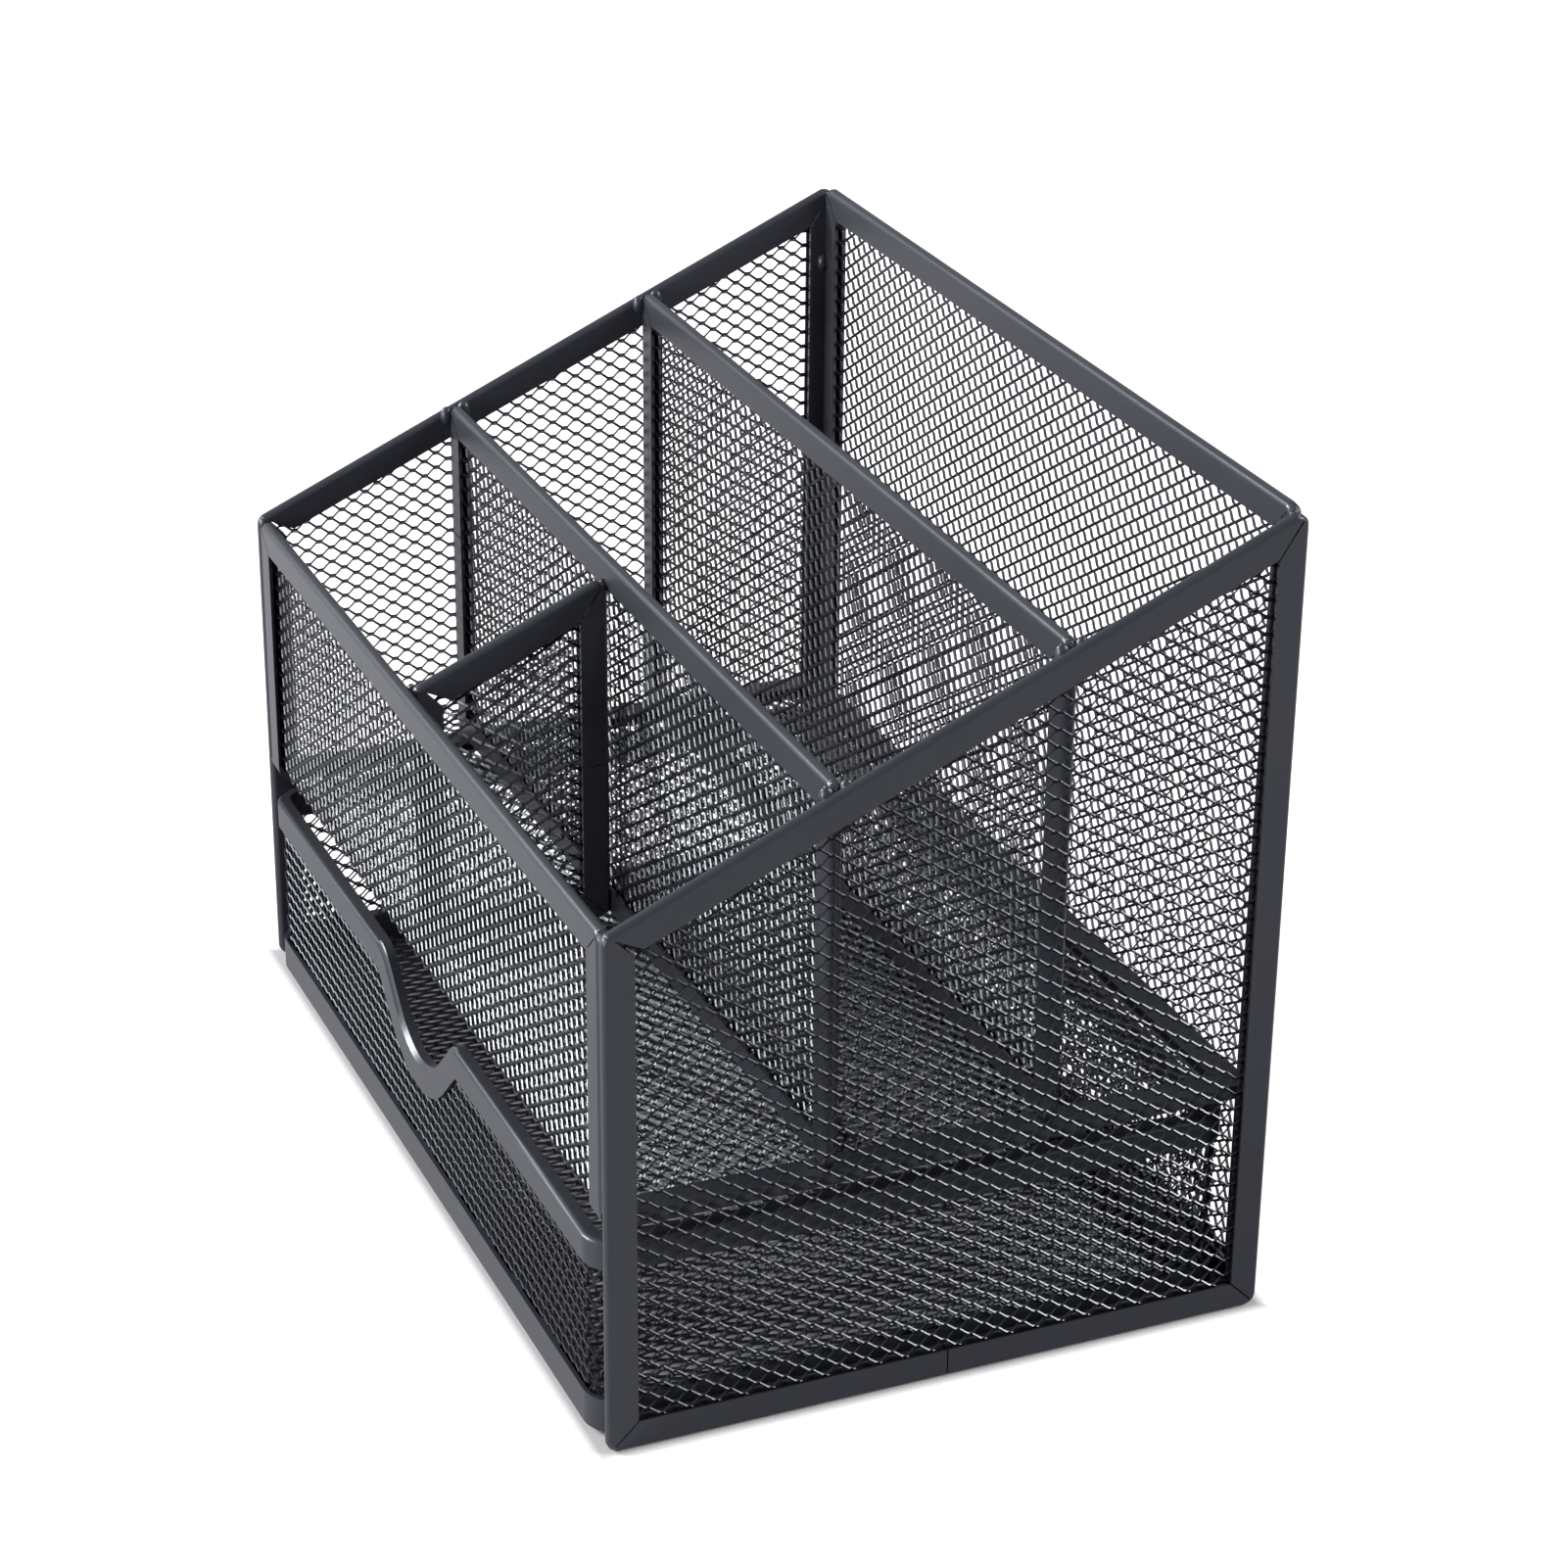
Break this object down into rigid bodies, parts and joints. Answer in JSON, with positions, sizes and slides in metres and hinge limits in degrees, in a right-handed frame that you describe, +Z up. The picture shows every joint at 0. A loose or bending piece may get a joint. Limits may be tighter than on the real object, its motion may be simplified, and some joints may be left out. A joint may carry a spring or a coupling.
{
  "type": "pen stand with drawer",
  "caption": "Black expanded-metal desk organiser with a stepped pen stand on top and a pull-out drawer with a finger notch below.",
  "frame": {"origin": "middle of the footprint, on the desk", "axes": "+X to the right along the drawer's front, +Y from the drawer's front to the back panel, +Z up"},
  "size_m": [0.155, 0.0984, 0.1204],
  "materials": {
    "black_strip": "satin",
    "black_mesh": "satin"
  },
  "bodies": {
    "stand": {"left_frame": "black_strip", "left_mesh": "black_mesh", "right_frame": "black_strip", "right_mesh": "black_mesh", "back_frame": "black_strip", "back_mesh": "black_mesh", "front_frame": "black_strip", "front_mesh": "black_mesh", "shelf_frame": "black_strip", "shelf_mesh": "black_mesh", "middle_divider_frame": "black_strip", "middle_divider_mesh": "black_mesh", "rear_divider_frame": "black_strip", "rear_divider_mesh": "black_mesh", "short_divider_frame": "black_strip", "short_divider_mesh": "black_mesh", "weld_beads": "black_strip"},
    "drawer": {"drawer_top_rim": "black_strip", "drawer_bottom_rim": "black_strip", "drawer_floor_mesh": "black_mesh", "drawer_front_mesh": "black_mesh", "drawer_back_mesh": "black_mesh", "drawer_left_mesh": "black_mesh", "drawer_right_mesh": "black_mesh", "drawer_corner_mesh": "black_mesh"}
  },
  "joints": [
    {"name": "drawer_slide", "type": "slide", "parent": "stand", "child": "drawer", "axis": [0, -1, 0], "range_m": [0, 0.08]}
  ]
}
